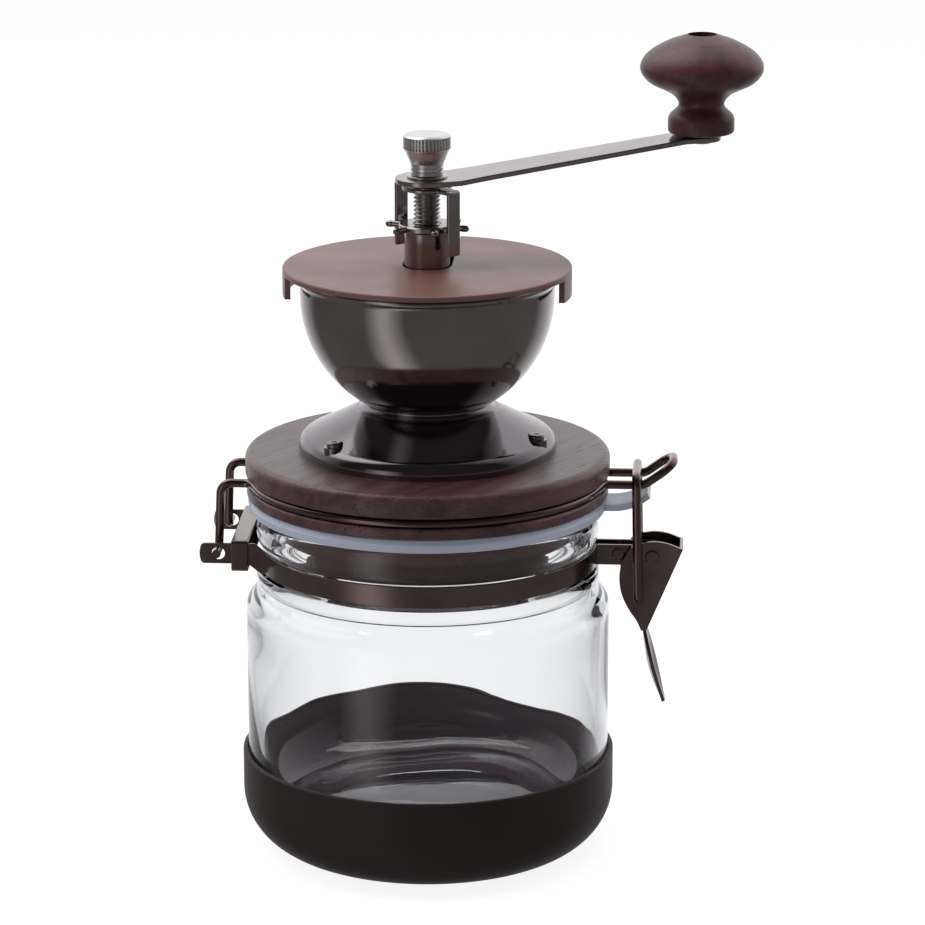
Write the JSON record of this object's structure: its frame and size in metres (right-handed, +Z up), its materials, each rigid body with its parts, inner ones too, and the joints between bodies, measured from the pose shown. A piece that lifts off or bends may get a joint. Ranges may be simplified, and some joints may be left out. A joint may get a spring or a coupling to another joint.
{
  "type": "hand crank coffee grinder",
  "caption": "Hand crank coffee grinder: round bean hopper with a cranked arm and wooden knob over a wooden lid, wire-latched to a glass jar in a silicone boot.",
  "frame": {"origin": "centre of the flat underside of the silicone boot, which is the face the grinder stands on", "axes": "+Z up along the spindle and jar axis, +X from the lid hinge towards the latch, -Y the front of the grinder"},
  "size_m": [0.1646, 0.112, 0.2434],
  "materials": {
    "glass": "clear polished glass",
    "boot_silicone": "matte dark brown silicone",
    "bronze_sheet": "satin dark bronze coated sheet steel",
    "lid_wood": "dark stained wood, satin varnish",
    "bronze_wire": "satin coppery bronze coated wire",
    "gasket_silicone": "translucent silicone",
    "dark_enamel": "high gloss dark brown metallic coat",
    "gunmetal": "polished dark bronze plating",
    "dark_steel": "dark plated steel",
    "black_plastic": "matte black moulded plastic",
    "ceramic": "fine ground ceramic",
    "white_plastic": "pale moulded nylon",
    "bright_steel": "bright machined steel",
    "knob_wood": "turned wood, reddish brown stain, satin varnish",
    "aluminium": "turned and knurled aluminium",
    "lid_plastic": "fine matte mid brown moulded plastic"
  },
  "bodies": {
    "canister": {"glass_jar": "glass", "base_boot": "boot_silicone", "band_front": "bronze_sheet", "band_rear": "bronze_sheet", "hinge_loop": "bronze_sheet", "ear_rivet": "bronze_sheet", "lever_pin": "bronze_sheet"},
    "lid": {"wood_lid": "lid_wood", "lid_wire": "bronze_wire", "gasket": "gasket_silicone", "mill_skirt": "dark_enamel", "hopper_bowl": "gunmetal", "skirt_screws": "dark_steel", "housing_nuts": "dark_steel", "burr_housing": "black_plastic", "outer_burr": "ceramic", "spindle_bracket": "dark_steel", "upper_bush": "white_plastic", "lower_bush": "white_plastic"},
    "crank": {"spindle": "bright_steel", "crank_arm": "gunmetal", "nut_stopper": "gunmetal", "cap_washer": "bright_steel", "burr_spring": "bright_steel", "spring_washer": "bright_steel", "inner_burr": "ceramic", "burr_carrier": "white_plastic", "burr_nut": "bright_steel", "knob_pin": "dark_steel", "knob_washer": "black_plastic"},
    "knob": {"knob": "knob_wood"},
    "cap_nut": {"cap_nut": "aluminium"},
    "adjusting_nut": {"adjusting_nut": "gunmetal"},
    "hopper_lid": {"hopper_lid": "lid_plastic"},
    "latch_lever": {"latch_lever": "bronze_sheet"},
    "latch_bail": {"latch_bail": "bronze_wire"}
  },
  "joints": [
    {"name": "lid_open", "type": "hinge", "parent": "canister", "child": "lid", "pos_m": [-0.0614, 0, 0.0945], "axis": [0, -1, 0], "range_deg": [0, 95]},
    {"name": "crank_spin", "type": "hinge", "parent": "lid", "child": "crank", "pos_m": [0, 0, 0.2], "axis": [0, 0, 1], "continuous": true},
    {"name": "knob_spin", "type": "hinge", "parent": "crank", "child": "knob", "pos_m": [0.07976, 0.027, 0.225], "axis": [0, 0, 1], "continuous": true},
    {"name": "cap_nut_turn", "type": "hinge", "parent": "crank", "child": "cap_nut", "pos_m": [0, 0, 0.21], "axis": [0, 0, 1], "continuous": true},
    {"name": "adjusting_nut_play", "type": "hinge", "parent": "crank", "child": "adjusting_nut", "pos_m": [0, 0, 0.19], "axis": [0, 0, 1], "range_deg": [-8, 8]},
    {"name": "hopper_lid_slide", "type": "slide", "parent": "lid", "child": "hopper_lid", "axis": [0, -1, 0], "range_m": [0, 0.06]},
    {"name": "latch_lever_turn", "type": "hinge", "parent": "canister", "child": "latch_lever", "pos_m": [0.0673, 0, 0.0919], "axis": [0, -1, 0], "range_deg": [0, 130]},
    {"name": "latch_bail_swing", "type": "hinge", "parent": "latch_lever", "child": "latch_bail", "pos_m": [0.0632, 0, 0.079], "axis": [0, -1, 0], "range_deg": [-280, 0]}
  ],
  "couplings": [
    {"joint": "latch_lever_turn", "follows": "lid_open", "ratio": 1.3},
    {"joint": "latch_bail_swing", "follows": "lid_open", "ratio": -2.8}
  ]
}
